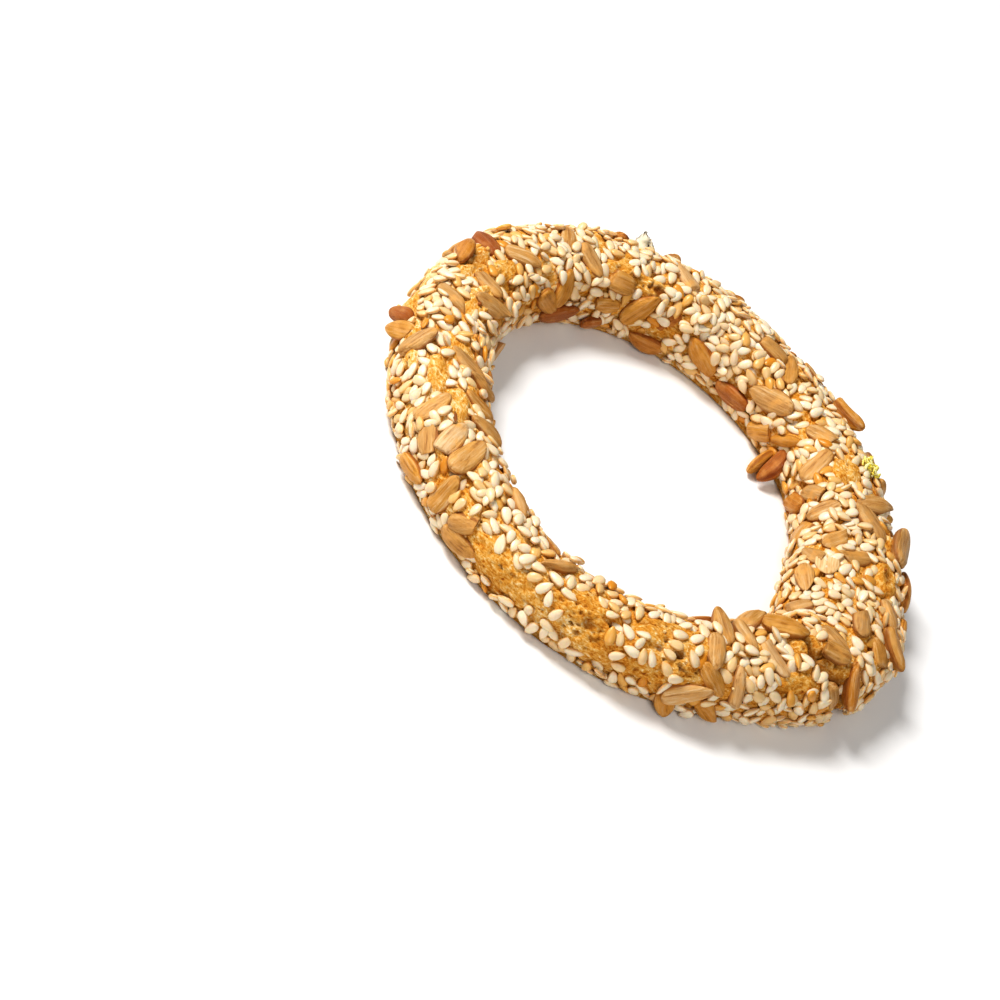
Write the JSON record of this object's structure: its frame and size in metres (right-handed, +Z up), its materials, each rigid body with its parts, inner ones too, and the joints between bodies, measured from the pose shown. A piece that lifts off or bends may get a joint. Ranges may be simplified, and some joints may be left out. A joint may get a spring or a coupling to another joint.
{
  "type": "seeded bread ring",
  "caption": "Closed ring of baked dough with a domed top, a flat base, a pinched joint and a crust covered in sesame seeds and sunflower kernels.",
  "frame": {"origin": "centre of the bounding box in plan, on the flat baked base", "axes": "+Z up from the baked base to the domed top; +X towards the side with the pinched joint"},
  "size_m": [0.1243, 0.118, 0.0178],
  "materials": {
    "crust": "baked, matt, golden brown",
    "sunflower_kernel": "toasted, matt",
    "sesame_seed": "hulled, satin"
  },
  "bodies": {
    "root": {"bread_ring": "crust"}
  },
  "joints": []
}
